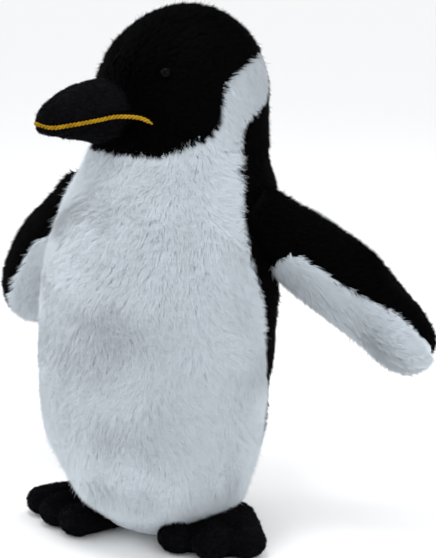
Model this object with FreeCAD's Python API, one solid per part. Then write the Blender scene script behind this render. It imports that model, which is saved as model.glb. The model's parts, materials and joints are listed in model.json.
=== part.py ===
import FreeCAD, Part
import math
import os

# Plush penguin, millimetres. It faces -Y, its own left is +X and it stands on z = 0.
# The origin is the middle of the flat base under the body.
# The head is sewn on turned towards the penguin's right, so the skin twists through the neck.

V = FreeCAD.Vector
os.makedirs("parts", exist_ok=True)

# ---- driving dimensions ----
PILE_PANEL = 4.0        # pile fabric: backing and combed-down pile
FLEECE = 2.4            # short-nap fleece of the beak and the feet
SEAM_GAP = 0.4          # between neighbouring panels
FILLING_GAP = 1.6       # between a skin and its filling
RING_STEP = 6.0         # height between the rings a body form is lofted through
CLEAR_STEP = 12.0       # and between those of a form that only clears a space
HEAD_STEP = 9.0
RING_POINTS = 36
CAST_STEPS = 44         # halvings when a ray is followed out to the skin
CROWN_Z = 388.0         # top of the head
NECK_Z = 290.0          # the seam that joins the head to the body
DOME_Z = 322.0          # widest level of the head, where its rounded top begins
DOME_BULGE = 2.0
DOME_ROUND = 0.5
DOME_LEAN = 8.0         # how far the crown lies behind the head's centre
HEAD_TURN = 35.0        # the head's turn to the penguin's right
TWIST_START_Z = 245.0   # the neck begins to turn here and has turned fully at DOME_Z

# The body and neck as ellipses: height, shift to the back, half depth, half width.
SECTIONS = (
    (0.0, 2.0, 36.0, 40.0), (6.0, -1.0, 43.5, 47.5), (14.0, -4.0, 50.0, 53.5),
    (36.0, -11.0, 59.5, 64.5), (75.0, -18.0, 72.0, 79.0), (106.0, -19.0, 76.0, 83.0),
    (141.0, -15.0, 78.0, 86.0), (170.0, -12.0, 78.0, 86.5), (207.0, -6.0, 76.0, 85.0),
    (241.0, 5.0, 71.0, 80.0), (262.0, 13.0, 65.0, 74.0), (280.0, 18.0, 63.0, 66.0),
    (300.0, 21.0, 63.0, 60.5),
    (DOME_Z, 22.0, 63.0, 57.0),
)

NAPE_TOP_Z = 358.0

# Seams as (angle round from the front in degrees, height), on the left side. The right mirrors them.
SIDE_SEAM = ((98.0, 3.5), (110.0, 36.0), (110.0, 80.0), (105.0, 120.0), (95.0, 151.0), (86.0, 190.0),
             (79.0, 212.0), (70.5, 235.0), (67.5, 250.0), (74.0, 264.0), (83.0, 280.0),
             (95.0, NECK_Z))
HOOD_SEAM = ((38.0, NECK_Z), (50.0, 293.0), (64.0, 296.5), (83.0, 304.5), (94.0, 317.0),
             (96.0, 333.0), (107.0, 346.0), (128.0, 354.0), (149.0, NAPE_TOP_Z))
NAPE_SEAM = ((95.0, NECK_Z), (105.0, 302.0), (118.0, 312.5), (138.0, 320.0),
             (153.0, 332.0), (158.0, NAPE_TOP_Z))
GUSSET_HALF = 19.0      # half width of the strip over the crown
CHIN_TOP_Z = 302.0      # the chin piece ends under the beak
BROW_ANGLE = 8.0        # the crown strip starts this far above the head's centre, over the beak

BASE_THICK = 3.0
POUCH_TOP_Z = 58.0
POUCH_INSET = 13.0
POUCH_LIFT = 3.0        # filling under the pouch

# Beak, along the head's own forward direction: distance out from the head's axis,
# half width, top and bottom height.
BEAK = ((38.0, 33.5, 340.5, 288.0), (55.0, 31.5, 340.0, 291.0), (69.0, 28.0, 338.0, 294.5),
        (86.0, 22.5, 334.0, 298.5), (99.0, 16.5, 327.0, 301.0), (106.0, 11.5, 321.5, 302.3),
        (110.5, 7.5, 317.0, 303.0), (113.5, 4.0, 312.0, 303.5))
MOUTH_TIP_Z = 308.0     # the mouth line near the tip, 106 mm out
MOUTH_TIP_OUT = 106.0
MOUTH_RISE = 0.19       # how much it rises per millimetre towards the face
PIPING_HALF = 1.4
PIPING_PROUD = 1.0
PIPING_WIDE = 3.4
PIPING_COUNT = 61
MOUTH_OUTS = (64.0, 72.0, 82.0, 92.0, 101.0, 107.0, 111.0)
MOUTH_CORNER = ((48.0, 311.5), (41.0, 315.5))
THROAT_Z = 270.0        # the beak is cleared of the head and neck from here up
MOUTH_GAP = 0.2         # between the braid and the fleece above and below it
BEAK_STEP = 5.0
BEAK_POINTS = 28
BEAK_TIP_SHARE = 1.2    # how much shorter an inner beak form ends

EYE_ANGLE = 56.0
EYE_Z = 346.0
EYE_R = 4.2
EYE_PROUD = 1.2         # the dome's flat back stands this far off the fabric
POST_R = 1.9
POST_LENGTH = 13.0
POST_GAP = 0.2          # round the post where it passes through the hood
WASHER_R = 7.0
WASHER_THICK = 1.2
WASHER_BACK = 0.6       # behind the fabric
WASHER_GAP = 0.1        # round the post
POCKET_GAP = 0.4        # round the washer in the filling
POCKET_LONGER = 2.0

# Flippers: each is a plump paddle. Distance from the shoulder, half thickness, half width.
FLIPPER = ((4.0, 12.0, 24.0), (15.0, 20.0, 28.0), (35.0, 26.0, 31.0), (65.0, 27.5, 32.0),
           (95.0, 26.5, 31.0), (116.0, 23.0, 27.0), (129.0, 16.0, 19.0), (136.0, 8.0, 10.0))
FLIPPER_SEAM_LOW = -5.5     # the edge seam lies a little to the white side
SHOULDER_Z = 229.0
SHOULDER_ANGLE = 102.0
SHOULDER_OUT = 6.0
LEFT_SPAN = (0.70, 0.37, -0.61)
LEFT_OUTER = (0.44, 0.45, 0.78)
RIGHT_SPAN = (-0.62, 0.31, -0.72)
RIGHT_OUTER = (-0.62, 0.40, 0.66)
LEFT_TRAVEL = (-30, 60)     # degrees about the shoulder, lowered and raised
RIGHT_TRAVEL = (-20, 70)
TRAVEL_STEP = 10
TRAVEL_CLEAR = 0.9
TRAVEL_LOW_Z = 100.0    # the flippers never meet the body under this
THINNEST = 5.0          # a section of a flipper thinner than this is left out

# Feet: soft slabs with three toes, splayed outwards.
FOOT_SPLAY = 30.0
FOOT_SIDE = 33.0        # the foot's centre line passes this far beside the origin
FOOT_OUT = 53.0         # centre of the foot, along its own direction
FOOT_LONG = 40.0
FOOT_WIDE = 39.0
TOE_DEEP = 0.16         # how far the gaps between the toes cut in
SOLE_THICK = 2.4
TOE_FROM = 0.15         # the gaps begin this far forward, as a share of the foot's half length
TOE_OVER = 0.5
FOOT_SQUARE = 2.6       # 2 would be an ellipse; more is squarer
FOOT_POINTS = 60
FOOT_LEVELS = ((0.0, 0.90), (3.0, 0.97), (9.0, 1.0), (16.0, 0.95), (22.0, 0.82), (26.0, 0.60), (27.5, 0.35))
FOOT_REACH_Z = 60.0     # the feet lie under this
FOOT_CLEAR = 1.4        # between the feet and the body
FOOT_CLEAR_STEP = 3.0

TAIL_ROOT_Z = 46.0
TAIL_HALF = 24.0
TAIL_SLOPE = 42.0       # degrees down from level
TAIL_SHELL = 3.0
TAIL_REACH_Z = 110.0    # the tail lies under this
TAIL = ((-14.0, 10.0, 1.0), (4.0, 9.5, 1.0), (16.0, 8.0, 0.84), (25.0, 6.0, 0.6), (29.0, 4.5, 0.4))


# ---- the skin's shape ----
def smooth(t):
    t = min(1.0, max(0.0, t))
    return t * t * (3.0 - 2.0 * t)


def along(table, x, column):
    """A smooth curve through one column of a table, read at x."""
    rows = len(table)
    i = 0
    while i < rows - 2 and x > table[i + 1][0]:
        i += 1
    x0, x1 = table[i][0], table[i + 1][0]
    y0, y1 = table[i][column], table[i + 1][column]

    def slope(k):
        lo, hi = max(0, k - 1), min(rows - 1, k + 1)
        return (table[hi][column] - table[lo][column]) / (table[hi][0] - table[lo][0])

    h = x1 - x0
    t = min(1.0, max(0.0, (x - x0) / h))
    m0, m1 = slope(i) * h, slope(i + 1) * h
    return (y0 * (1 + 2 * t) * (1 - t) ** 2 + m0 * t * (1 - t) ** 2
            + y1 * t * t * (3 - 2 * t) + m1 * t * t * (t - 1))


def section(z, inset):
    """Shift to the back, half depth and half width of the skin at a height."""
    if z <= DOME_Z:
        return along(SECTIONS, z, 1), along(SECTIONS, z, 2) - inset, along(SECTIONS, z, 3) - inset
    x = min(1.0, (z - DOME_Z) / (CROWN_Z - DOME_Z - inset))
    scale = (1.0 - x ** DOME_BULGE) ** DOME_ROUND
    back, deep, wide = SECTIONS[-1][1:]
    return back + DOME_LEAN * x, (deep - inset) * scale, (wide - inset) * scale


def directions(z):
    """The skin's forward and left directions at a height."""
    turn = math.radians(HEAD_TURN) * smooth((z - TWIST_START_Z) / (DOME_Z - TWIST_START_Z))
    return V(-math.sin(turn), -math.cos(turn), 0), V(math.cos(turn), -math.sin(turn), 0)


def skin(angle, z, inset=0.0):
    back, deep, wide = section(z, inset)
    forward, left = directions(z)
    a = math.radians(angle)
    return V(0, back, z) + forward * (deep * math.cos(a)) + left * (wide * math.sin(a))


HEAD_CENTRE = V(0, SECTIONS[-1][1], DOME_Z)
FORWARD, LEFT = directions(DOME_Z)
UP = V(0, 0, 1)


def inside(p, inset):
    if p.z >= CROWN_Z - inset:
        return False
    back, deep, wide = section(p.z, inset)
    forward, left = directions(p.z)
    q = p - V(0, back, p.z)
    return (q.dot(forward) / deep) ** 2 + (q.dot(left) / wide) ** 2 < 1.0


def cast(start, way, inset):
    """Where a ray from inside the head leaves its skin."""
    near, far = 0.0, 2.0 * DOME_Z
    for _ in range(CAST_STEPS):
        middle = (near + far) / 2
        if inside(start + way * middle, inset):
            near = middle
        else:
            far = middle
    return start + way * near


def onto_head(p, inset):
    way = p - HEAD_CENTRE
    way.normalize()
    return cast(HEAD_CENTRE, way, inset)


def onto_body(p, inset):
    back, deep, wide = section(p.z, 0.0)
    forward, left = directions(p.z)
    q = p - V(0, back, p.z)
    angle = math.degrees(math.atan2(q.dot(left) / wide, q.dot(forward) / deep))
    return skin(angle, p.z, inset)


# ---- panels: four edges, an outer and an inner face ----
def seam(points, side=1):
    return [skin(side * angle, z) for angle, z in points]


def edge_function(points):
    curve = Part.BSplineCurve()
    curve.interpolate(points)
    length = curve.length()
    first = curve.FirstParameter

    def at(t):
        if t <= 0:
            return curve.value(first)
        if t >= 1:
            return curve.value(curve.LastParameter)
        return curve.value(curve.parameterAtDistance(t * length, first))

    return at, length


def face_solid(outer, inner):
    """A closed solid between two grids of points."""
    faces = []
    sides = []
    for grid in (outer, inner):
        surface = Part.BSplineSurface()
        surface.interpolate(grid)
        faces.append(surface.toShape())
        u0, u1, v0, v1 = surface.bounds()
        sides.append([surface.uIso(u0), surface.uIso(u1), surface.vIso(v0), surface.vIso(v1)])
    for a, b in zip(*sides):
        faces.append(Part.makeRuledSurface(a.toShape(), b.toShape()))
    shell = Part.makeShell(faces)
    shell.sewShape()
    solid = Part.makeSolid(shell)
    if solid.Volume < 0:
        solid.reverse()
    return solid


def panel(bottom, top, first, last, project, columns, rows, thick=PILE_PANEL):
    """A fabric panel. bottom and top run the same way; first and last join their ends."""
    b, b_long = edge_function(bottom)
    t, t_long = edge_function(top)
    f, f_long = edge_function(first)
    e, e_long = edge_function(last)
    gap_u = SEAM_GAP / (b_long + t_long)
    gap_v = SEAM_GAP / (f_long + e_long)
    outer, inner = [], []
    for i in range(columns):
        u = gap_u + (1 - 2 * gap_u) * i / (columns - 1)
        outer.append([])
        inner.append([])
        for j in range(rows):
            v = gap_v + (1 - 2 * gap_v) * j / (rows - 1)
            corners = (b(0) * ((1 - u) * (1 - v)) + b(1) * (u * (1 - v))
                       + t(0) * ((1 - u) * v) + t(1) * (u * v))
            p = b(u) * (1 - v) + t(u) * v + f(v) * (1 - u) + e(v) * u - corners
            outer[-1].append(project(p, 0.0))
            inner[-1].append(project(p, thick))
    return face_solid(outer, inner)


def ring(z, inset):
    curve = Part.BSplineCurve()
    points = [skin(360.0 * i / RING_POINTS, z, inset) for i in range(RING_POINTS)]
    curve.interpolate(points, PeriodicFlag=True)
    return Part.Wire(curve.toShape())


def levels(low, high, step):
    count = max(2, int(math.ceil((high - low) / step)))
    return [low + (high - low) * i / count for i in range(count + 1)]


def head_form(inset, low):
    top = CROWN_Z - inset
    heights = levels(low, DOME_Z, HEAD_STEP)
    for degrees in (15, 28, 41, 53, 64, 73, 80):
        heights.append(DOME_Z + (top - DOME_Z) * math.sin(math.radians(degrees)))
    return Part.makeLoft([ring(z, inset) for z in heights], True)


def body_form(inset, low, high, step=RING_STEP):
    return Part.makeLoft([ring(z, inset) for z in levels(low, high, step)], True)


def save(name, shape):
    solids = shape.Solids
    print(f"{name:24s} solids {len(solids)} valid {shape.isValid()} volume {shape.Volume / 1000:8.2f} cm3")
    shape.exportStep(f"parts/{name}.step")


def arc_at(z, first_angle, last_angle, count):
    return [skin(first_angle + (last_angle - first_angle) * i / (count - 1), z) for i in range(count)]


# ---- body ----
def make_body():
    low = SIDE_SEAM[0][1]
    low_angle, top_angle = SIDE_SEAM[0][0], SIDE_SEAM[-1][0]
    belly = panel(arc_at(low, -low_angle, low_angle, 15), arc_at(NECK_Z, -top_angle, top_angle, 15),
                  seam(SIDE_SEAM, -1), seam(SIDE_SEAM), onto_body, 21, 41)
    save("belly_panel", belly)
    back_seam = [skin(180.0, z) for z in levels(low, NECK_Z, 25.0)]
    for side, name in ((1, "left"), (-1, "right")):
        back = panel(arc_at(low, side * low_angle, side * 180.0, 9),
                     arc_at(NECK_Z, side * top_angle, side * 180.0, 9),
                     seam(SIDE_SEAM, side), back_seam, onto_body, 13, 41)
        save(f"back_panel_{name}", back)
    base = body_form(0.0, 0.0, BASE_THICK)
    save("base_panel", base)
    filling_low = BASE_THICK + FILLING_GAP
    filling = body_form(PILE_PANEL + FILLING_GAP, filling_low, NECK_Z - SEAM_GAP / 2)
    pouch_low = filling_low + POUCH_LIFT
    pouch = body_form(POUCH_INSET, pouch_low, POUCH_TOP_Z)
    pocket = body_form(POUCH_INSET - SEAM_GAP, pouch_low - SEAM_GAP, POUCH_TOP_Z + SEAM_GAP)
    save("pellet_pouch", pouch)
    save("body_filling", filling.cut(pocket))


# ---- head ----
def gusset_edge(side):
    """The edge of the centre strip, from the neck up the face and over the crown to the nape."""
    wide = SECTIONS[-1][3]
    angle = math.degrees(math.asin(GUSSET_HALF / wide))
    face = [skin(side * angle, z) for z in (NECK_Z, 297.0, 304.0, 311.0)]
    start = HEAD_CENTRE + LEFT * (side * GUSSET_HALF)
    crown = []
    for degrees in range(0, 136, 15):
        a = math.radians(degrees)
        crown.append(cast(start, FORWARD * math.cos(a) + UP * math.sin(a), 0.0))
    nape_wide = section(NAPE_TOP_Z, 0.0)[2]
    nape_angle = 180.0 - math.degrees(math.asin(GUSSET_HALF / nape_wide))
    return face, crown, skin(side * nape_angle, NAPE_TOP_Z), nape_angle, angle


def make_head(eye_holes):
    edges = {}
    for side, name in ((1, "left"), (-1, "right")):
        face, crown, corner, nape_angle, face_angle = gusset_edge(side)
        edges[side] = (face, crown, corner)
        neck = arc_at(NECK_Z, side * HOOD_SEAM[0][0], side * face_angle, 4)
        nape = arc_at(NAPE_TOP_Z, side * HOOD_SEAM[-1][0], side * nape_angle, 4)
        hood = panel(seam(HOOD_SEAM, side), face + crown + [corner], neck, nape, onto_head, 25, 13)
        save(f"hood_{name}", hood.cut(eye_holes[side]))
        patch = panel(arc_at(NECK_Z, side * HOOD_SEAM[0][0], side * NAPE_SEAM[0][0], 7),
                      arc_at(NAPE_TOP_Z, side * HOOD_SEAM[-1][0], side * NAPE_SEAM[-1][0], 3),
                      seam(HOOD_SEAM, side), seam(NAPE_SEAM, side), onto_head, 11, 25)
        save(f"ear_patch_{name}", patch)
    nape_angle = NAPE_SEAM[-1][0]
    neck_angle = NAPE_SEAM[0][0]
    nape = panel(arc_at(NECK_Z, neck_angle, 360.0 - neck_angle, 13),
                 arc_at(NAPE_TOP_Z, nape_angle, 360.0 - nape_angle, 7),
                 seam(NAPE_SEAM), seam(NAPE_SEAM, -1), onto_head, 21, 25)
    save("nape_panel", nape)
    make_gussets(edges)


def make_gussets(edges):
    angle = math.degrees(math.asin(GUSSET_HALF / SECTIONS[-1][3]))
    chin_levels = levels(NECK_Z, CHIN_TOP_Z, 5.0)
    chin = panel(arc_at(NECK_Z, -angle, angle, 5), arc_at(CHIN_TOP_Z, -angle, angle, 5),
                 [skin(-angle, z) for z in chin_levels], [skin(angle, z) for z in chin_levels],
                 onto_head, 7, 5)
    save("chin_gusset", chin)
    a = math.radians(BROW_ANGLE)
    way = FORWARD * math.cos(a) + UP * math.sin(a)
    brow = [cast(HEAD_CENTRE + LEFT * (GUSSET_HALF * k / 2), way, 0.0) for k in (-2, -1, 0, 1, 2)]
    nape_angle = gusset_edge(1)[3]
    back = [skin(nape_angle + (180.0 - nape_angle) * k / 2, NAPE_TOP_Z) for k in range(5)]
    back.reverse()
    left = [brow[-1]] + edges[1][1][1:] + [edges[1][2]]
    right = [brow[0]] + edges[-1][1][1:] + [edges[-1][2]]
    crown = panel(brow, back, right, left, onto_head, 7, 21)
    save("crown_gusset", crown)


def eye_frame(side):
    p = skin(side * EYE_ANGLE, EYE_Z)
    across = skin(side * EYE_ANGLE + 1, EYE_Z) - skin(side * EYE_ANGLE - 1, EYE_Z)
    rise = skin(side * EYE_ANGLE, EYE_Z + 1) - skin(side * EYE_ANGLE, EYE_Z - 1)
    normal = across.cross(rise)
    normal.normalize()
    if normal.dot(p - HEAD_CENTRE) < 0:
        normal = normal * -1
    return p, normal


def make_eyes():
    """Each eye is a dome with a post through the hood, held by a washer behind the fabric."""
    holes, pockets = {}, []
    for side, name in ((1, "left"), (-1, "right")):
        p, normal = eye_frame(side)
        seat = p + normal * EYE_PROUD
        ball = Part.makeSphere(EYE_R, seat)
        keep = Part.makeCylinder(2 * EYE_R, 2 * EYE_R, seat, normal)
        dome = ball.common(keep)
        post = Part.makeCylinder(POST_R, POST_LENGTH, seat, normal * -1)
        save(f"eye_{name}", dome.fuse(post).removeSplitter())
        washer_seat = p - normal * (PILE_PANEL + WASHER_BACK)
        washer = Part.makeCylinder(WASHER_R, WASHER_THICK, washer_seat, normal * -1)
        bore = Part.makeCylinder(POST_R + WASHER_GAP, 3 * WASHER_THICK, washer_seat + normal, normal * -1)
        washer = washer.cut(bore)
        save(f"eye_washer_{name}", washer)
        hole_start = p + normal * (PILE_PANEL / 2)
        holes[side] = Part.makeCylinder(POST_R + POST_GAP, 2 * PILE_PANEL, hole_start, normal * -1)
        pockets.append(Part.makeCylinder(WASHER_R + POCKET_GAP, POST_LENGTH + POCKET_LONGER, p, normal * -1))
    return holes, pockets


def grown(size, grow):
    """A half size made larger or smaller, never under a third of itself."""
    return max(size + grow, size / 3.0)


def beak_ring(row, grow):
    """One upright section of the beak, grown or shrunk all round."""
    out, half, top, bottom = row
    middle = mouth_z(out)
    points = []
    for i in range(BEAK_POINTS):
        a = 2 * math.pi * (i + 0.5) / BEAK_POINTS - math.pi / 2
        rise = grown(top - middle if math.sin(a) > 0 else middle - bottom, grow)
        across = math.cos(a) * grown(half, grow)
        points.append(HEAD_CENTRE + FORWARD * out + LEFT * across
                      + UP * (middle - DOME_Z + rise * math.sin(a)))
    curve = Part.BSplineCurve()
    curve.interpolate(points, PeriodicFlag=True)
    return Part.Wire(curve.toShape())


def mouth_z(out):
    return MOUTH_TIP_Z + (MOUTH_TIP_OUT - out) * MOUTH_RISE


def beak_form(inset):
    first, last = BEAK[0][0], BEAK[-1][0] - max(0.0, BEAK_TIP_SHARE * inset)
    rings = []
    for out in levels(first, last, BEAK_STEP):
        row = (out, along(BEAK, out, 1), along(BEAK, out, 2), along(BEAK, out, 3))
        rings.append(beak_ring(row, -inset))
    return Part.makeLoft(rings, True)


def beyond_mouth(side):
    """A tilted block that holds everything above (side 1) or below (side -1) the mouth line."""
    size = 3 * MOUTH_TIP_OUT
    start = PIPING_HALF + MOUTH_GAP if side > 0 else -PIPING_HALF - MOUTH_GAP - size
    box = Part.makeBox(size, size, size, V(-size / 2, -size / 2, start))
    box.rotate(V(0, 0, 0), LEFT, math.degrees(math.atan(MOUTH_RISE)))
    box.translate(HEAD_CENTRE + FORWARD * MOUTH_TIP_OUT + UP * (MOUTH_TIP_Z - DOME_Z))
    return box


def mouth_path(grow):
    """The mouth line: from one corner on the cheek, along the beak, round its tip and back."""
    half = [(out, along(BEAK, out, 1) + grow) for out in MOUTH_OUTS]
    right = [(out, -across) for out, across in half]
    points = [HEAD_CENTRE + FORWARD * out + LEFT * across + UP * (mouth_z(out) - DOME_Z)
              for out, across in half + [(BEAK[-1][0] + 1.0 + grow, 0.0)] + right[::-1]]
    off_skin = PIPING_PROUD + SEAM_GAP + (PIPING_WIDE + grow - PIPING_PROUD) / 2
    ends = []
    for side in (1, -1):
        ends.append([skin(side * angle, z, -off_skin) for angle, z in MOUTH_CORNER])
    return ends[0] + points + ends[1][::-1]


def make_piping():
    """The gold mouth line, a flat braid with its outer edge proud of the fleece."""
    curves = [edge_function(mouth_path(grow))[0] for grow in (PIPING_PROUD, PIPING_PROUD - PIPING_WIDE)]
    grids = []
    for curve in curves:
        grid = []
        for i in range(PIPING_COUNT):
            p = curve(i / (PIPING_COUNT - 1))
            grid.append([p + UP * (PIPING_HALF * k) for k in (-1.0, -0.33, 0.33, 1.0)])
        grids.append(grid)
    return face_solid(grids[0], grids[1])


def make_beak():
    head = head_form(-SEAM_GAP, THROAT_Z)
    shell = beak_form(0.0).cut(beak_form(FLEECE)).cut(head)
    save("beak_upper", shell.common(beyond_mouth(1)))
    save("beak_lower", shell.common(beyond_mouth(-1)))
    piping = make_piping()
    save("mouth_piping", piping)
    save("beak_filling", beak_form(PIPING_WIDE).cut(head))


# ---- flippers ----
def frame_matrix(origin, x_way, z_way):
    x = V(*x_way)
    x.normalize()
    z = V(*z_way)
    z = z - x * z.dot(x)
    z.normalize()
    y = z.cross(x)
    rows = ((x.x, y.x, z.x, origin.x), (x.y, y.y, z.y, origin.y), (x.z, y.z, z.z, origin.z), (0, 0, 0, 1))
    return FreeCAD.Matrix(*[value for row in rows for value in row])


def paddle(inset):
    wires = []
    for out, thick, wide in FLIPPER:
        if thick - inset < THINNEST:
            continue
        major, minor = wide - inset, thick - inset
        ellipse = Part.Ellipse(V(out, 0, 0), major, minor)
        ellipse.Axis = V(1, 0, 0)
        ellipse.XAxis = V(0, 1, 0)
        wires.append(Part.Wire(ellipse.toShape()))
    return Part.makeLoft(wires, True)


def shoulder(side):
    p = skin(side * SHOULDER_ANGLE, SHOULDER_Z)
    out = V(p.x, p.y - section(SHOULDER_Z, 0.0)[0], 0)
    out.normalize()
    return p + out * SHOULDER_OUT


def raise_axis(span):
    """The level axis across the flipper that raises it when turned forwards."""
    axis = V(span[1], -span[0], 0)
    axis.normalize()
    return axis


def swept_body(side, span, travel):
    """The body seen from the flipper over its whole travel, with clearance."""
    body = body_form(-TRAVEL_CLEAR, TRAVEL_LOW_Z, NECK_Z, CLEAR_STEP)
    pivot, axis = shoulder(side), raise_axis(span)
    for degrees in range(travel[0], travel[1] + 1, TRAVEL_STEP):
        turned = body.copy()
        turned.rotate(pivot, axis, -degrees)
        yield turned


def make_flipper(side, name, span, outer_way, travel):
    placement = FreeCAD.Placement(frame_matrix(shoulder(side), span, outer_way))
    shell = paddle(0.0).cut(paddle(PILE_PANEL))
    big = CROWN_Z
    above = Part.makeBox(big, big, big, V(-big / 2, -big / 2, FLIPPER_SEAM_LOW + SEAM_GAP / 2))
    below = Part.makeBox(big, big, big, V(-big / 2, -big / 2, FLIPPER_SEAM_LOW - SEAM_GAP / 2 - big))
    pieces = {
        "outer": shell.common(above),
        "inner": shell.common(below),
        "filling": paddle(PILE_PANEL + FILLING_GAP),
    }
    bodies = list(swept_body(side, span, travel))
    for piece, shape in pieces.items():
        placed = shape.copy()
        placed.Placement = placement
        for body in bodies:
            placed = placed.cut(body)
        save(f"{name}_flipper_{piece}", placed)


# ---- feet ----
def foot_ring(side, level, scale, inset):
    turn = math.radians(FOOT_SPLAY)
    forward = V(side * math.sin(turn), -math.cos(turn), 0)
    outward = V(side * math.cos(turn), math.sin(turn), 0)
    centre = forward * FOOT_OUT + outward * FOOT_SIDE
    points = []
    for i in range(FOOT_POINTS):
        a = 2 * math.pi * i / FOOT_POINTS
        front = smooth((math.cos(a) - TOE_FROM) / TOE_OVER)
        lobes = 1.0 - TOE_DEEP * front * (0.5 - 0.5 * math.cos(6.0 * a))
        long = FOOT_LONG * scale * lobes - inset
        wide = FOOT_WIDE * scale * lobes - inset
        corner = abs(math.cos(a)) ** FOOT_SQUARE + abs(math.sin(a)) ** FOOT_SQUARE
        squared = corner ** (-1.0 / FOOT_SQUARE)
        points.append(centre + forward * (long * squared * math.cos(a))
                      + outward * (wide * squared * math.sin(a)) + UP * level)
    curve = Part.BSplineCurve()
    curve.interpolate(points, PeriodicFlag=True)
    return Part.Wire(curve.toShape())


def foot_form(side, inset, low):
    top = FOOT_LEVELS[-1][0] - inset
    heights = [low] + [z for z, _ in FOOT_LEVELS if low + 1.5 < z < top - 1.0] + [top]
    rings = []
    for z in heights:
        scale = along(FOOT_LEVELS, z + inset * smooth(z / top), 1)
        rings.append(foot_ring(side, z, scale, inset))
    return Part.makeLoft(rings, True)


def make_foot(side, name):
    body = body_form(-FOOT_CLEAR, 0.0, FOOT_REACH_Z, FOOT_CLEAR_STEP)
    big = CROWN_Z
    slab = Part.makeBox(big, big, SOLE_THICK, V(-big / 2, -big / 2, 0))
    cleared = Part.makeBox(big, big, SOLE_THICK + SEAM_GAP, V(-big / 2, -big / 2, 0))
    outer = foot_form(side, 0.0, 0.0).cut(body)
    save(f"{name}_foot_sole", outer.common(slab))
    inner = foot_form(side, FLEECE, SOLE_THICK)
    save(f"{name}_foot_upper", outer.cut(cleared).cut(inner))
    filling = foot_form(side, FLEECE + FILLING_GAP, SOLE_THICK + FILLING_GAP).cut(body)
    save(f"{name}_foot_filling", filling)


# ---- tail ----
def make_tail():
    """A short flat wedge, pressed from two pieces over a thin filling."""
    body = body_form(-SEAM_GAP, 0.0, TAIL_REACH_Z)
    root = skin(180.0, TAIL_ROOT_Z)
    slope = math.radians(TAIL_SLOPE)
    way = V(0, math.cos(slope), -math.sin(slope))
    outer, inner = [], []
    for out, thick, wide in TAIL:
        half = TAIL_HALF * wide
        outer.append(tail_ring(root + way * out, way, half, thick))
        inner_centre = root + way * (out - TAIL_SHELL)
        inner.append(tail_ring(inner_centre, way, half - TAIL_SHELL, thick - TAIL_SHELL))
    shell = Part.makeLoft(outer, True).cut(Part.makeLoft(inner, True)).cut(body)
    save("tail", shell)


def tail_ring(centre, way, half, thick):
    ellipse = Part.Ellipse(V(0, 0, 0), half, thick)
    ellipse.Axis = way
    ellipse.XAxis = V(1, 0, 0)
    ellipse.Center = centre
    return Part.Wire(ellipse.toShape())


def make_all():
    holes, pockets = make_eyes()
    make_head(holes)
    filling = head_form(PILE_PANEL + FILLING_GAP, NECK_Z + SEAM_GAP / 2)
    for pocket in pockets:
        filling = filling.cut(pocket)
    save("head_filling", filling)
    make_beak()
    make_body()
    make_flipper(1, "left", LEFT_SPAN, LEFT_OUTER, LEFT_TRAVEL)
    make_flipper(-1, "right", RIGHT_SPAN, RIGHT_OUTER, RIGHT_TRAVEL)
    make_foot(1, "left")
    make_foot(-1, "right")
    make_tail()


make_all()
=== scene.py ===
import json
import math
from collections import namedtuple

import bmesh
import bpy
import numpy as np
from mathutils import Matrix, Vector
from mathutils.kdtree import KDTree


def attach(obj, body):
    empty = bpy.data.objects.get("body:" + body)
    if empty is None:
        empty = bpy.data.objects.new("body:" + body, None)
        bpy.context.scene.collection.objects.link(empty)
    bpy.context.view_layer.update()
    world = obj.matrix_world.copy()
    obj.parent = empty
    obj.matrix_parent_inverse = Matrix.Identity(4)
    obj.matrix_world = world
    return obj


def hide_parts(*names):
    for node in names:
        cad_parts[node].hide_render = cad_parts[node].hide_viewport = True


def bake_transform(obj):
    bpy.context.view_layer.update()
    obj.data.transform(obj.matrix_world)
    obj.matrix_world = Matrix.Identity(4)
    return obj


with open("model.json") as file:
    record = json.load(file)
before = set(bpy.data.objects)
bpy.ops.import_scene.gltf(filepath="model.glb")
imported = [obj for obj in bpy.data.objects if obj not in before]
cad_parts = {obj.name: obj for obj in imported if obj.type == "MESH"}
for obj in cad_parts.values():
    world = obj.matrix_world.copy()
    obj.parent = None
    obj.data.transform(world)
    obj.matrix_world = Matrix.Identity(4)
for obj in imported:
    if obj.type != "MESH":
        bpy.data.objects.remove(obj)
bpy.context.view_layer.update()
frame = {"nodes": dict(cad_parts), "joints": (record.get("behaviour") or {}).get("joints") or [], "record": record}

# A plush penguin, metres. It faces -Y, its own left is +X, it stands on z = 0.
MM = 0.001
TWO_PI = 2.0 * math.pi
UP = np.array((0.0, 0.0, 1.0))
OBLIQUE = np.array((0.31, 0.57, 0.76))   # crossed with any edge or fibre to get a side direction
SEED = 2016
WELD = 0.02 * MM                # corners closer than this are one corner

JOINTS = {joint["name"]: joint for joint in frame["joints"]}
HEAD_TURN = math.radians(35.0)
HEAD_FORWARD = np.array((-math.sin(HEAD_TURN), -math.cos(HEAD_TURN), 0.0))
HEAD_LEFT = np.array((math.cos(HEAD_TURN), -math.sin(HEAD_TURN), 0.0))
HEAD_CENTRE = np.array((0.0, 0.022, 0.322))
HEAD_MIDDLE = np.array((0.0, 0.022, 0.312))     # which the head's skin faces away from
BODY_AXIS = np.array((0.0, -0.002, 0.0))
NECK_BEND = (0.245, 0.322)      # heights between which the skin twists with the head
SLOTS = {part["node"]: part["material_slot"] for part in frame["record"]["subparts"]}

# The neck and head as ellipses: height, shift to the back, half depth, half width, in millimetres.
NECK_SECTIONS = ((262.0, 13.0, 65.0, 74.0), (280.0, 18.0, 63.0, 66.0), (300.0, 21.0, 63.0, 60.5),
                 (322.0, 22.0, 63.0, 57.0))
NECK_LOW = NECK_SECTIONS[0][0] * MM

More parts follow.
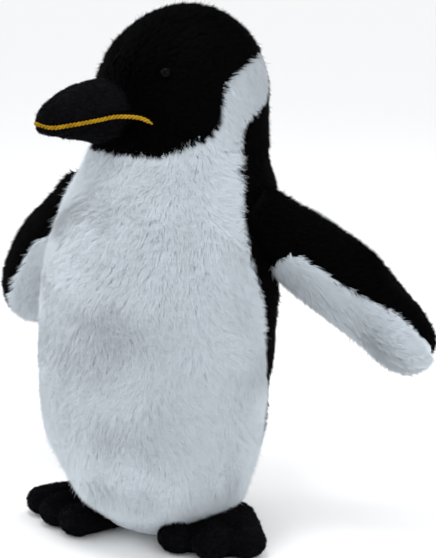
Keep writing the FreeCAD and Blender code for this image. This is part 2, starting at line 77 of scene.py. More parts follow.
# The beak: distance out from the head's axis, half width, top and bottom height, in millimetres.
BEAK = ((32.0, 34.0, 340.5, 287.5), (38.0, 34.0, 340.5, 287.5), (55.0, 31.8, 340.0, 291.0),
        (69.0, 28.3, 338.0, 294.5), (86.0, 22.8, 334.0, 298.5), (99.0, 16.8, 327.2, 301.0),
        (106.0, 12.0, 321.8, 302.3), (110.5, 8.2, 317.5, 303.0), (113.5, 5.0, 313.0, 304.0))
MOUTH_TIP_OUT, MOUTH_TIP_Z, MOUTH_RISE = 106.0, 308.0, 0.19
MOUTH_TIP_LIFT = 3.5            # the line turns up again at the very tip
MOUTH_OUTS = (64.0, 72.0, 82.0, 92.0, 101.0, 106.0, 109.6)
BEAK_TIP = 112.3
TIP_ROUND_FROM, TIP_ROUND_OVER = 107.0, 5.35
BEAK_ENDS = (106.0, 107.5, 108.8, 109.9, 110.8, 111.6, BEAK_TIP)   # close together round the tip
BRAID_PITCH, BRAID_FLAT = 5.6 * MM, 0.8
MOUTH_CORNER = ((48.0, 311.5), (41.0, 315.5))   # angle round the head, height
MOUTH_POINTS, MOUTH_EVEN = 420, 23              # points on the line, and how many are averaged

# Flippers: distance from the shoulder, half thickness, half width, in millimetres.
FLIPPER = ((-30.0, 20.0, 24.0), (-14.0, 22.0, 26.0), (0.0, 23.5, 28.0), (18.0, 25.3, 30.0),
           (38.0, 27.5, 31.5), (65.0, 27.5, 32.0), (95.0, 26.5, 31.0), (116.0, 23.5, 27.5),
           (129.0, 18.5, 22.0), (135.5, 13.5, 16.5), (139.5, 7.5, 9.5), (141.0, 2.0, 3.0))
FLIPPER_ENDS = (131.0, 133.0, 135.0, 136.8, 138.3, 139.5, 140.4, 141.0)     # close together round the tip
FLIPPER_BEGIN = {"outer": -30.0, "inner": 5.0, "root": -30.0, "filling": 15.0}
ROOT_END = 14.0                 # where the black root under a flipper stops
ROOT_INSET = 0.6
FLIPPER_SEAM = {"left": (-5.5, 9.0), "right": (-9.5, -9.5)}  # the edge seam's height at the root and tip
FLIPPER_BOW = {"left": (3.6, -9.5), "right": (7.0, 3.0)}     # rise at mid length, and at the tip
FLIPPER_THIN = {"left": 4.0, "right": 0.0}                   # how much thinner before the tip
FLIPPER_REACH = {"left": 1.0, "right": 0.96}                 # length as a share of the table's
FLIPPER_FILLING_INSET = 6.5
PADDLE_POINTS = 33              # round each station
SEAM_OVERLAP = 0.07             # radians by which the two halves of a flipper lap at their seam
FLIPPERS = {"left": ((0.70, 0.37, -0.61), (0.44, 0.45, 0.78)),
            "right": ((-0.62, 0.31, -0.72), (-0.62, 0.40, 0.66))}

# Feet, in millimetres along the foot's own directions.
FOOT_SPLAY = math.radians(30.0)
TOES = {"left": (((28.0, 14.0), (63.0, 8.0), 14.0, 10.6), ((28.0, 33.0), (76.0, 33.5), 14.6, 11.2),
                 ((28.0, 52.0), (72.5, 58.5), 14.2, 10.6)),
        "right": (((28.0, 14.0), (72.5, 8.0), 14.2, 10.6), ((28.0, 33.0), (76.5, 33.5), 14.6, 11.2),
                  ((28.0, 52.0), (76.0, 61.0), 14.0, 10.4))}
WEB = (((30.0, 20.0), (58.0, 20.0), 12.0, 7.6), ((30.0, 46.0), (62.0, 47.0), 12.0, 7.6))
INSTEP = ((40.0, 33.0, 10.0), (30.0, 33.0, 17.0))
TOE_GAPS = (20.0, 46.5)
STITCH_OUT, STITCH_UP = 79.0, 10.0
HELD_BELOW, HELD_BEHIND = 2.6, 34.0     # the parts of a foot that its filling doesn't move
FOOT_FILLING_INSET = 4.0
SOLE_INSET = 5.0
SOLE_UNDER, SOLE_TOP, UPPER_UNDER, FILLING_UNDER = 0.3, 1.6, 1.9, 3.2   # heights from the floor

# Tail: distance from the root down its slope, half thickness, half width.
TAIL = ((-14.0, 10.0, 24.0), (4.0, 9.5, 24.0), (16.0, 8.0, 20.5), (25.0, 6.0, 15.0), (30.0, 2.5, 9.0),
        (31.0, 0.6, 4.0))
TAIL_SLOPE = math.radians(42.0)
TAIL_MIDDLE = np.array((0.0, 0.0499, 0.046))    # where it leaves the back


# ---------------------------------------------------------------- small helpers
def unit(v):
    length = np.linalg.norm(v, axis=-1, keepdims=True)
    return v / np.maximum(length, 1e-12)


def dot(a, b):
    return np.sum(a * b, axis=-1, keepdims=True)


def across(v, n):
    """The part of v that lies along the surface, made unit length."""
    return unit(v - n * dot(v, n))


def smooth(t):
    t = np.clip(t, 0.0, 1.0)
    return t * t * (3.0 - 2.0 * t)


def waves(points, size, seed, count=9):
    """A smooth random field from about -1 to 1 whose bumps are about size across."""
    rng = np.random.default_rng(seed)
    ways = unit(rng.normal(size=(count, 3))) * (TWO_PI / (2.2 * size)) * rng.uniform(0.6, 1.4, (count, 1))
    phases = rng.uniform(0, TWO_PI, count)
    return np.sin(points @ ways.T + phases).sum(axis=1) / math.sqrt(count / 2.0) * 0.6


def turned(v, n, angle):
    """v turned about n by an angle for each row."""
    c, s = np.cos(angle)[:, None], np.sin(angle)[:, None]
    return v * c + np.cross(n, v) * s + n * dot(n, v) * (1 - c)


def along(table, x):
    """Smooth curves through the columns of a table, read at an x of its first column."""
    rows = np.array(table)
    slopes = np.gradient(rows[:, 1:], rows[:, 0], axis=0)
    i = int(np.clip(np.searchsorted(rows[:, 0], x) - 1, 0, len(rows) - 2))
    y0, y1 = rows[i:i + 2, 1:]
    h = rows[i + 1, 0] - rows[i, 0]
    t = min(1.0, max(0.0, (x - rows[i, 0]) / h))
    return (y0 * (1 + 2 * t) * (1 - t) ** 2 + slopes[i] * h * t * (1 - t) ** 2
            + y1 * t * t * (3 - 2 * t) + slopes[i + 1] * h * t * t * (t - 1))


def mesh_object(name, points, triangles, tones=None, heights=None, normals=None):
    """A mesh from arrays. Its UVs hold a tone across and the height along a fibre."""
    mesh = bpy.data.meshes.new(name)
    mesh.vertices.add(len(points))
    mesh.vertices.foreach_set("co", points.astype(np.float32).ravel())
    mesh.loops.add(triangles.size)
    mesh.loops.foreach_set("vertex_index", triangles.astype(np.int32).ravel())
    mesh.polygons.add(len(triangles))
    mesh.polygons.foreach_set("loop_start", np.arange(0, triangles.size, 3, dtype=np.int32))
    mesh.update(calc_edges=True)
    mesh.polygons.foreach_set("use_smooth", np.ones(len(triangles), bool))
    if tones is not None:
        layer = mesh.uv_layers.new(name="OFBake")
        uv = np.stack((tones, heights), axis=1)[triangles.ravel()]
        layer.data.foreach_set("uv", uv.astype(np.float32).ravel())
    if normals is not None:
        mesh.normals_split_custom_set_from_vertices(normals.astype(np.float32))
    mesh.validate()
    return linked(name, mesh)


def applied(made):
    """The object with its modifiers made real."""
    graph = bpy.context.evaluated_depsgraph_get()
    mesh = bpy.data.meshes.new_from_object(made.evaluated_get(graph))
    made.modifiers.clear()
    made.data = mesh
    return made


def mesh_array(items, field, kind=np.float32):
    """A field of a mesh's vertices, normals or triangles, three values to a row."""
    values = np.empty(len(items) * 3, kind)
    items.foreach_get(field, values)
    return values.reshape(-1, 3)


def vertex_array(made):
    return mesh_array(made.data.vertices, "co").astype(float)


def surface_normals(made):
    return mesh_array(made.data.vertex_normals, "vector").astype(float)


def triangle_corners(made):
    made.data.calc_loop_triangles()
    return mesh_array(made.data.loop_triangles, "vertices", np.int32)


def set_vertices(made, points):
    made.data.vertices.foreach_set("co", points.astype(np.float32).ravel())
    made.data.update()


def linked(name, mesh):
    """A new object in the scene."""
    made = bpy.data.objects.new(name, mesh)
    bpy.context.scene.collection.objects.link(made)
    return made


# ---------------------------------------------------------------- materials
def set_inputs(node, values):
    """Input values by name, where To_Min stands for the input To Min."""
    for name, value in values.items():
        node.inputs[name.replace("_", " ")].default_value = value


def link(output, socket):
    output.id_data.links.new(output, socket)


def shader_node(tree, kind, operation=None, **values):
    made = tree.nodes.new("ShaderNode" + kind)
    if operation is not None:
        made.operation = operation
    set_inputs(made, values)
    return made


def new_material(name, **values):
    made = bpy.data.materials.new(name)
    made.use_nodes = True
    shader = made.node_tree.nodes["Principled BSDF"]
    set_inputs(shader, values)
    return made, made.node_tree, shader


def ramp(tree, factor, *stops):
    """A colour ramp read at a factor."""
    node = shader_node(tree, "ValToRGB")
    elements = node.color_ramp.elements
    while len(elements) < len(stops):
        elements.new(0.5)
    for element, (place, colour) in zip(elements, stops):
        element.position = place
        element.color = (*colour, 1.0)
    link(factor, node.inputs["Fac"])
    return node.outputs["Color"]


def spread(tree, factor, low, high):
    """A factor from 0 to 1 spread between two values."""
    node = shader_node(tree, "MapRange", To_Min=low, To_Max=high)
    link(factor, node.inputs["Value"])
    return node.outputs["Result"]


def texture(tree, place, kind, **values):
    """The factor of a texture read at a place."""
    node = shader_node(tree, kind, **values)
    link(place, node.inputs["Vector"])
    return node.outputs["Fac"]


def pile_material(name, root, middle, tip, variation, roughness, specular, sheen=0.0, tint=(1, 1, 1)):
    """Fibre colour from root to tip, darker at the root as painted shade deep in the pile, with each fibre a
    little lighter or darker.
    """
    made, tree, shader = new_material(name, Roughness=roughness, Specular_IOR_Level=specular,
                                      Sheen_Weight=sheen, Sheen_Tint=(*tint, 1.0))
    place = shader_node(tree, "UVMap")
    place.uv_map = "OFBake"
    split = shader_node(tree, "SeparateXYZ")
    link(place.outputs["UV"], split.inputs[0])
    # darker roots than tips: painted shade deep in the pile
    colour = ramp(tree, split.outputs["Y"], (0.0, root), (0.45, middle), (1.0, tip))
    shaded = shader_node(tree, "VectorMath", "SCALE")
    link(colour, shaded.inputs[0])
    link(spread(tree, split.outputs["X"], 1.0 - variation, 1.0 + variation), shaded.inputs["Scale"])
    link(shaded.outputs["Vector"], shader.inputs["Base Color"])
    return made


def cloth_material(name, dark, light, grain, roughness, bump, sheen=0.1, tint=(1, 1, 1), knit=False):
    """Woven or napped fabric: mottled colour, a rough grain and a fine bump."""
    made, tree, shader = new_material(name, Specular_IOR_Level=0.03, Sheen_Weight=sheen,
                                      Sheen_Tint=(*tint, 1.0))
    place = shader_node(tree, "TexCoord").outputs["Object"]
    fine = texture(tree, place, "TexNoise", Scale=1.0 / grain, Detail=4.0, Roughness=0.65)
    broad = texture(tree, place, "TexNoise", Scale=0.12 / grain)
    share = shader_node(tree, "Math", "MULTIPLY")
    share.inputs[1].default_value = 0.4
    link(broad, share.inputs[0])
    both = shader_node(tree, "Math", "MULTIPLY_ADD")
    both.inputs[1].default_value = 0.6
    link(fine, both.inputs[0])
    link(share.outputs[0], both.inputs[2])
    link(ramp(tree, both.outputs[0], (0.32, dark), (0.68, light)), shader.inputs["Base Color"])
    rough = spread(tree, fine, roughness - 0.12, min(1.0, roughness + 0.12))
    link(rough, shader.inputs["Roughness"])
    height = texture(tree, place, "TexWave", Scale=0.35 / grain, Distortion=2.0) if knit else fine
    relief = shader_node(tree, "Bump", Distance=bump, Strength=0.8)
    link(height, relief.inputs["Height"])
    link(relief.outputs["Normal"], shader.inputs["Normal"])
    return made


def plastic_material(name, colour, roughness, ior):
    """Moulded plastic with faint polishing marks."""
    made, tree, shader = new_material(name, IOR=ior)
    marks = texture(tree, shader_node(tree, "TexCoord").outputs["Object"], "TexNoise", Scale=900.0)
    dark, light = (tuple(share * c for c in colour) for share in (0.8, 1.2))
    link(ramp(tree, marks, (0.3, dark), (0.7, light)), shader.inputs["Base Color"])
    rough = spread(tree, marks, roughness * 0.7, roughness * 1.4)
    link(rough, shader.inputs["Roughness"])
    return made


# Each pile's root colour is darker than its tip: painted shade deep in the pile.
PILES = {
    "white": pile_material("white_pile", (0.63, 0.69, 0.74), (0.74, 0.805, 0.86), (0.80, 0.865, 0.92), 0.03,
                           0.85, 0.25, sheen=0.10, tint=(0.95, 0.97, 1.0)),
    "black": pile_material("black_pile", (0.0004, 0.0004, 0.0005), (0.0010, 0.0010, 0.0012),
                           (0.0024, 0.0024, 0.0030), 0.35, 0.65, 0.02)}
BACKINGS = {
    "white": cloth_material("white_backing", (0.62, 0.68, 0.73), (0.72, 0.78, 0.83), 1.2 * MM, 0.9, 0.3 * MM),
    "black": cloth_material("black_backing", (0.0005, 0.0005, 0.0006), (0.0012, 0.0012, 0.0015), 1.2 * MM,
                            0.9, 0.3 * MM, sheen=0.0)}
FLEECE = cloth_material("black_fleece", (0.0010, 0.0010, 0.0012), (0.0045, 0.0045, 0.0055), 1.1 * MM, 0.85,
                        0.7 * MM, sheen=0.02, tint=(0.75, 0.82, 1.0))
# darker root than tip: painted shade deep in the fleece's nap
NAP = pile_material("black_nap", (0.0005, 0.0005, 0.0006), (0.0035, 0.0035, 0.0042), (0.015, 0.015, 0.018),
                    0.85, 0.75, 0.03)
THREAD = cloth_material("thread", (0.03, 0.03, 0.03), (0.08, 0.08, 0.08), 0.4 * MM, 0.5, 0.05 * MM)
BRAID = cloth_material("gold_braid", (0.16, 0.075, 0.003), (0.50, 0.29, 0.014), 0.6 * MM, 0.7, 0.3 * MM,
                       sheen=0.0)
FIBRE = cloth_material("fibre_filling", (0.7, 0.7, 0.68), (0.9, 0.9, 0.88), 3.0 * MM, 0.9, 1.0 * MM)
COTTON = cloth_material("pouch_cotton", (0.6, 0.57, 0.5), (0.8, 0.77, 0.7), 1.0 * MM, 0.9, 0.3 * MM,
                        knit=True)
EYE = plastic_material("eye_gloss", (0.001, 0.001, 0.0012), 0.09, 1.12)
NYLON = plastic_material("washer_nylon", (0.8, 0.8, 0.78), 0.45, 1.5)


# ---------------------------------------------------------------- surfaces taken from the CAD nodes
def node_triangles(node):
    made = frame["nodes"][node]
    return vertex_array(made)[triangle_corners(made)]


def outer_side(node, outward, least=0.45):
    """The triangles of a node that face outwards, with a smooth normal at each corner."""
    tris = node_triangles(node)
    flat = np.cross(tris[:, 1] - tris[:, 0], tris[:, 2] - tris[:, 0])
    keep = dot(unit(flat), outward(tris.mean(axis=1)))[:, 0] > least
    tris, flat = tris[keep], flat[keep]
    keys = np.round(tris.reshape(-1, 3) / WELD).astype(np.int64)
    keys, place = np.unique(keys, axis=0, return_inverse=True)
    summed = np.zeros((len(keys), 3))
    for corner in range(3):
        np.add.at(summed, place.reshape(-1, 3)[:, corner], flat)
    return tris, unit(summed)[place.reshape(-1, 3)]


def scatter(surface, spacing, rng):
    """Random points on a surface with one for each square of the spacing, and their normals."""
    tris, normals = surface
    areas = np.linalg.norm(np.cross(tris[:, 1] - tris[:, 0], tris[:, 2] - tris[:, 0]), axis=1) / 2
    count = int(areas.sum() / spacing ** 2)
    steps = (np.arange(count) + rng.uniform(0, 1, count)) / count * areas.sum()
    chosen = np.searchsorted(np.cumsum(areas), steps).clip(0, len(areas) - 1)
    a, b = rng.uniform(0, 1, count), rng.uniform(0, 1, count)
    flip = a + b > 1
    a, b = np.where(flip, 1 - a, a), np.where(flip, 1 - b, b)
    weights = np.stack((1 - a - b, a, b), axis=1)[:, :, None]
    return (tris[chosen] * weights).sum(axis=1), unit((normals[chosen] * weights).sum(axis=1))


def open_edges(surface):
    """The ends of each edge round a panel, and their normals."""
    tris, normals = surface
    ends = np.concatenate([tris[:, (k, (k + 1) % 3)] for k in range(3)])
    facing = np.concatenate([normals[:, (k, (k + 1) % 3)] for k in range(3)])
    keys = np.round(ends / WELD).astype(np.int64)
    codes = (keys * (1, 1 << 20, 1 << 40)).sum(axis=2)
    flip = codes[:, 0] > codes[:, 1]
    keys[flip] = keys[flip][:, ::-1]
    _, first, count = np.unique(keys.reshape(-1, 6), axis=0, return_index=True, return_counts=True)
    alone = first[count == 1]
    return ends[alone], facing[alone]


def edge_distance(points, surface):
    """How far points lie from a panel's edges."""
    ends = open_edges(surface)[0]
    steps = np.linspace(0.0, 1.0, 4, endpoint=False)[None, :, None]
    marks = (ends[:, :1] * (1 - steps) + ends[:, 1:] * steps).reshape(-1, 3)
    tree = KDTree(len(marks))
    for index, mark in enumerate(marks):
        tree.insert(mark, index)
    tree.balance()
    return np.array([tree.find(point)[2] for point in points])


def round_ways(ways, sides):
    """Directions evenly round each way, on a new axis before the last."""
    side = unit(np.cross(ways, OBLIQUE))
    other = np.cross(ways, side)
    turns = (np.arange(sides) * TWO_PI / sides)[:, None]
    return side[..., None, :] * np.cos(turns) + other[..., None, :] * np.sin(turns)


def ring_faces(rings, sides):
    """The triangles between rings of points, one after the other."""
    faces = []
    for start in range(0, (rings - 1) * sides, sides):
        for k in range(sides):
            a, b = start + k, start + (k + 1) % sides
            faces += [(a, b, b + sides), (a, b + sides, a + sides)]
    return faces


def rod_faces(rings, sides):
    """The triangles of a closed rod: its side and its two ends."""
    faces = ring_faces(rings, sides)
    last = (rings - 1) * sides
    for k in range(1, sides - 1):
        faces += [(0, k + 1, k), (last, last + k, last + k + 1)]
    return np.array(faces)


ALLOWANCE_DEPTH = {"black": 2.4 * MM, "white": 3.4 * MM}
ALLOWANCE_LAP, ALLOWANCE_RADIUS, ALLOWANCE_SIDES = 0.7 * MM, 1.3 * MM, 4


def allowance(node, surface, colour):
    """The turned-in edge of a panel, a roll of fabric under its seams."""
    ends, facing = open_edges(surface)
    low = ends - facing * ALLOWANCE_DEPTH[colour]
    ways = unit(low[:, 1] - low[:, 0])
    low[:, 0] -= ways * ALLOWANCE_LAP
    low[:, 1] += ways * ALLOWANCE_LAP
    ring = ALLOWANCE_RADIUS * round_ways(ways, ALLOWANCE_SIDES)
    points = np.concatenate((low[:, :1] + ring, low[:, 1:] + ring), axis=1)
    firsts = np.arange(len(low))[:, None, None] * 2 * ALLOWANCE_SIDES
    tris = (firsts + rod_faces(2, ALLOWANCE_SIDES)).reshape(-1, 3)
    made = mesh_object(node + "_seam_allowance", points.reshape(-1, 3), tris)
    piece_of(made, BACKINGS[colour], SLOTS[node], neck_blend)


def body_outward(points):
    return unit((points - BODY_AXIS) * (1.0, 1.0, 0.0))


def head_outward(points):
    return unit(points - HEAD_MIDDLE)


# ---------------------------------------------------------------- pile
# How a fabric's pile grows: length, spacing, width and swirl_size in metres, fibres to a tuft, angles in
# radians (swirl, stray) and shares (lift, clump, shine, ragged).
Pile = namedtuple("Pile", "length spacing tuft width lift clump swirl swirl_size stray shine ragged",
                  defaults=(0.03, 0.22, 0.25, 1.0))


def tubes(paths, widths):
    """Closed three-sided tubes along the paths, ending in a point, and which way each corner faces."""
    count, stations, _ = paths.shape
    rings = stations - 1
    ways = unit(np.gradient(paths, axis=1))[:, :rings]
    facing = round_ways(ways, 3)
    corners = paths[:, :rings, None] + (widths / 2)[:, None, None, None] * facing
    points = np.concatenate((corners.reshape(count, rings * 3, 3), paths[:, -1:]), axis=1)
    facing = np.concatenate((facing.reshape(count, rings * 3, 3), ways[:, -1:] * 0.0), axis=1)
    top = 3 * (rings - 1)
    faces = [(0, 2, 1)] + ring_faces(rings, 3) + [(top + k, top + (k + 1) % 3, 3 * rings) for k in range(3)]
    heights = np.append(np.repeat(np.arange(rings) / rings, 3), 1.0)
    return points, facing, np.array(faces), heights


SWING_NOISE, RISE_WAVES, LENGTH_NOISE = 0.18, 0.25, 0.16    # how uneven a fully ragged pile is
STANDING_SHARE, STANDING_LIFT = 0.03, 1.6                   # a few fibres stand up out of the pile


def pile_paths(surface, pile, comb, rng, scale, keep):
    """Straight fibres in tufts: each tuft leans its own way, and its fibres close up towards the tip."""
    centres, centre_normals = scatter(surface, pile.spacing, rng)
    leans = comb(centres, centre_normals)
    swing = pile.swirl * waves(centres, pile.swirl_size, int(rng.integers(1e6)))
    swing = swing + rng.normal(0, SWING_NOISE * pile.ragged, len(centres))
    leans = turned(leans, centre_normals, swing)
    bumps = waves(centres, pile.swirl_size * 0.7, int(rng.integers(1e6)))
    rise = pile.lift * (1.0 + RISE_WAVES * pile.ragged * bumps)
    uneven = rng.normal(size=len(centres)).clip(-1.5, 1.5)
    tuft_length = pile.length * (1.0 + LENGTH_NOISE * pile.ragged * uneven)
    each = pile.tuft
    angle = rng.uniform(0, TWO_PI, (len(centres), each))
    reach = pile.spacing * 0.85 * np.sqrt(rng.uniform(0, 1, (len(centres), each)))
    sides = np.cross(centre_normals, leans)
    offset = (leans[:, None, :] * (np.cos(angle) * reach)[:, :, None]
              + sides[:, None, :] * (np.sin(angle) * reach)[:, :, None])
    roots = (centres[:, None, :] + offset).reshape(-1, 3)
    normals = np.repeat(centre_normals, each, axis=0)
    lean = turned(np.repeat(leans, each, axis=0), normals, rng.normal(0, pile.stray, len(roots)))
    lift = np.repeat(rise, each) * rng.uniform(0.8, 1.2, len(roots))
    lift = np.where(rng.uniform(0, 1, len(roots)) < STANDING_SHARE, lift * STANDING_LIFT, lift)
    length = np.repeat(tuft_length, each) * rng.uniform(0.75, 1.12, len(roots))
    if scale is not None:
        length = length * scale(roots, surface)
    way = normals * (0.8 * lift)[:, None] + lean * (1.0 - 0.45 * lift)[:, None]
    tips = roots + length[:, None] * way - pile.clump * offset.reshape(-1, 3)
    paths = np.stack((roots, tips), axis=1)
    tones = np.repeat(rng.uniform(0, 1, len(centres)), each) * 0.5 + rng.uniform(0, 0.5, len(roots))
    if keep is not None:
        chosen = keep(roots)
        paths, normals, tones = paths[chosen], normals[chosen], tones[chosen]
    return paths, normals, tones


MOST_FACES = 190000             # for one piece
FLOOR_CLEAR = 0.6 * MM          # no fibre goes under this


def grow(name, surface, pile, comb, material, place, seed, scale=None, keep=None):
    """Pile over a surface, as one or more pieces of closed fibres."""
    rng = np.random.default_rng(SEED + seed)
    paths, normals, tones = pile_paths(surface, pile, comb, rng, scale, keep)
    paths[:, :, 2] = np.maximum(paths[:, :, 2], FLOOR_CLEAR)
    widths = pile.width * rng.uniform(0.75, 1.25, len(paths)) * 1.0
    points, facing, faces, heights = tubes(paths, widths)
    share = int(math.ceil(len(paths) * len(faces) / MOST_FACES))
    each = int(math.ceil(len(paths) / share))
    order = np.argsort(points[:, 0, 2], kind="stable")
    for part in range(share):
        rows = order[part * each:(part + 1) * each]
        block = points[rows]
        corners = block.shape[1]
        tris = (np.arange(len(rows))[:, None, None] * corners + faces).reshape(-1, 3)
        upright = np.repeat(normals[rows][:, None, :], corners, axis=1)
        ways = unit(paths[rows][:, -1] - paths[rows][:, 0])[:, None, :]
        level = unit(upright - ways * dot(upright, ways))
        soft = unit(upright * (1 - pile.shine) + level * pile.shine + facing[rows] * pile.shine)
        piece = mesh_object(f"{name}_{part + 1}" if share > 1 else name, block.reshape(-1, 3), tris,
                            np.repeat(tones[rows], corners), np.tile(heights, len(rows)), soft.reshape(-1, 3))
        piece.data.materials.append(material)
        place(piece)


# ---------------------------------------------------------------- what each piece rides on
def neck_blend(piece):
    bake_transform(piece)


def on(body):
    return lambda piece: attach(piece, body)


def piece_of(made, material, slot, place, *nodes, fill=None):
    """What every finished piece needs: a material, what it rides on and what it stands for. The slot is not used.
    """
    made.data.materials.clear()
    made.data.materials.append(material)
    if nodes:
        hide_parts(*nodes)
    place(made)
    return made


# ---------------------------------------------------------------- sewn covers
def evened(made, voxel, iterations):
    """The object as an even closed mesh with softened edges."""
    remesh = made.modifiers.new("even", "REMESH")
    remesh.mode = "VOXEL"
    remesh.voxel_size = voxel * MM
    relax = made.modifiers.new("soft", "SMOOTH")
    relax.factor = 0.5
    relax.iterations = iterations
    applied(made)
    made.data.polygons.foreach_set("use_smooth", np.ones(len(made.data.polygons), bool))
    return made


CLOTH_FRAMES = 20
CLOTH_PRESSURE = 3.0
CLOTH_MOST = 2.5 * MM           # no point moves further than this


def stuffed(made, held_points):
    """Cloth blown up by its filling, except at the held points."""
    before = vertex_array(made)
    held = made.vertex_groups.new(name="held")
    held.add([int(index) for index in np.flatnonzero(held_points)], 1.0, "REPLACE")
    cloth = made.modifiers.new("cloth", "CLOTH")
    settings = cloth.settings
    settings.quality = 5
    settings.mass = 0.15
    settings.use_pressure = True
    settings.uniform_pressure_force = CLOTH_PRESSURE
    settings.vertex_group_mass = "held"
    settings.effector_weights.gravity = 0.0
    cloth.point_cache.frame_start = 1
    cloth.point_cache.frame_end = CLOTH_FRAMES
    for frame_number in range(1, CLOTH_FRAMES + 1):
        bpy.context.scene.frame_set(frame_number)
    applied(made)
    bpy.context.scene.frame_set(1)
    moved = vertex_array(made) - before
    far = np.linalg.norm(moved, axis=1, keepdims=True)
    set_vertices(made, before + moved * np.minimum(1.0, CLOTH_MOST / np.maximum(far, 1e-9)))
    return made


def surface_of(made, least=-1.0, outward=None):
    """The triangles of a made piece, or those that face outwards, with a smooth normal at each corner."""
    corners = triangle_corners(made)
    tris, facing = vertex_array(made)[corners], surface_normals(made)[corners]
    if outward is None:
        return tris, facing
    keep = dot(unit(facing.mean(axis=1)), outward(tris.mean(axis=1)))[:, 0] > least
    return tris[keep], facing[keep]


def welded(made, close=False):
    """Corners that meet are joined. With close, open edges are filled and the faces turned outwards."""
    form = bmesh.new()
    form.from_mesh(made.data)
    bmesh.ops.remove_doubles(form, verts=form.verts, dist=WELD)
    if close:
        bmesh.ops.holes_fill(form, edges=form.edges)
        bmesh.ops.triangulate(form, faces=[f for f in form.faces if len(f.verts) > 3])
        bmesh.ops.recalc_face_normals(form, faces=form.faces)
    form.to_mesh(made.data)
    form.free()


def panel_fabric(node, voxel, iterations):
    """A CAD panel as fabric: an even mesh with softened, slightly sunk seam edges."""
    tris = node_triangles(node)
    made = mesh_object(node + "_fabric", tris.reshape(-1, 3), np.arange(len(tris) * 3).reshape(-1, 3))
    welded(made)
    return evened(made, voxel, iterations)


def cover(node, outward, colour, pile, comb, seed, least=0.45, scale=None, keep=None):
    """A panel of pile fabric: its backing, its turned-in edges and its pile."""
    piece_of(panel_fabric(node, 2.0, 3), BACKINGS[colour], SLOTS[node], neck_blend, node, fill=0.85)
    surface = outer_side(node, outward, least)
    allowance(node, surface, colour)
    grow(node + "_pile", surface, pile, comb, PILES[colour], neck_blend, seed,
         scale=scale, keep=keep)


def comb_down(points, normals):
    return across(np.broadcast_to(-UP, points.shape), normals)


def comb_along(way):
    return lambda points, normals: across(np.broadcast_to(way, points.shape), normals)


def comb_belly(points, normals):
    """Down, and away to the two sides from a middle a little to the penguin's left."""
    around = unit(np.cross(UP, normals))
    angle = np.arctan2(normals[:, 0], -normals[:, 1]) - math.radians(12.0)
    share = np.clip(angle / math.radians(60.0), -1.0, 1.0)[:, None]
    return across(-UP + 0.45 * share * around, normals)


def comb_head(points, normals):
    """Away from the beak, over the crown and down the back of the head, and down at the throat."""
    low = smooth((0.318 - points[:, 2]) / 0.025)[:, None]
    way = -HEAD_FORWARD * (1.0 - 0.5 * low) - UP * (0.55 + 0.9 * low)
    return across(way, normals)


BELLY_PILE = Pile(11.5 * MM, 2.3 * MM, 11, 0.50 * MM, 0.50, clump=0.15, swirl=0.60, swirl_size=22 * MM,
                  stray=0.25, shine=0.12, ragged=0.5)
BACK_PILE = Pile(7.0 * MM, 2.3 * MM, 6, 0.68 * MM, 0.60, clump=0.40, swirl=0.4)
HOOD_PILE = Pile(7.0 * MM, 2.1 * MM, 8, 0.62 * MM, 0.65, clump=0.40, swirl=0.45)
PATCH_PILE = Pile(8.5 * MM, 2.2 * MM, 10, 0.50 * MM, 0.50, clump=0.25, swirl=0.3, shine=0.12, ragged=0.5)
FLIPPER_PILE = Pile(6.0 * MM, 2.2 * MM, 7, 0.62 * MM, 0.75, clump=0.45, swirl=0.45)
UNDER_PILE = Pile(9.0 * MM, 2.3 * MM, 9, 0.50 * MM, 0.60, clump=0.35, swirl=0.5, shine=0.2)
TAIL_PILE = Pile(6.0 * MM, 2.2 * MM, 6, 0.55 * MM, 0.60, clump=0.45, swirl=0.3)
ROOT_PILE = TAIL_PILE._replace(length=4.0 * MM)
FUZZ = Pile(2.3 * MM, 1.9 * MM, 8, 0.42 * MM, 0.85, clump=0.75, swirl=1.5, swirl_size=5 * MM, stray=0.9)


# ---------------------------------------------------------------- body
def belly_trim(points, surface):
    """Shorter towards the seams below the neck, and shortest round the feet."""
    low = smooth((points[:, 2] - 8 * MM) / (32 * MM))
    neck = smooth((points[:, 2] - NECK_LOW) / (15 * MM))
    seams = np.maximum(smooth(edge_distance(points, surface) / (9 * MM)), neck)
    return (0.18 + 0.82 * low) * (0.6 + 0.4 * seams)


def make_body():
    for number, node in enumerate(("back_panel_left", "back_panel_right")):
        cover(node, body_outward, "black", BACK_PILE, comb_down, number)
    cover("belly_panel", body_outward, "white", BELLY_PILE, comb_belly, 3, least=0.3, scale=belly_trim)
    made = panel_fabric("base_panel", 1.2, 4)
    points = vertex_array(made)
    points[:, 2] = np.maximum(points[:, 2], 0.2 * MM)
    set_vertices(made, points)
    piece_of(made, BACKINGS["white"], SLOTS["base_panel"], on("body"), "base_panel")


# ---------------------------------------------------------------- head
def eye_centre(node):
    """The middle of the eye's dome, its outermost 3 mm."""
    points = node_triangles(node).reshape(-1, 3)
    reach = (points - HEAD_CENTRE) @ unit(points.mean(axis=0) - HEAD_CENTRE)
    return points[reach > reach.max() - 3.0 * MM].mean(axis=0)


EYE_CENTRES = [eye_centre(node) for node in ("eye_left", "eye_right")]


def eye_distance(points):
    return np.minimum(*[np.linalg.norm(points - centre, axis=1) for centre in EYE_CENTRES])


def neck_skin(angle, height, out):
    """A point on the head's or neck's skin, from its angle round and its height, moved outwards."""
    shift, deep, wide = along(NECK_SECTIONS, height)
    turn = HEAD_TURN * float(smooth((height * MM - NECK_BEND[0]) / (NECK_BEND[1] - NECK_BEND[0])))
    a = math.radians(angle)
    forward, left = (deep + out) * math.cos(a), (wide + out) * math.sin(a)
    return np.array((-math.sin(turn) * forward + math.cos(turn) * left,
                     shift - math.cos(turn) * forward - math.sin(turn) * left, height)) * MM


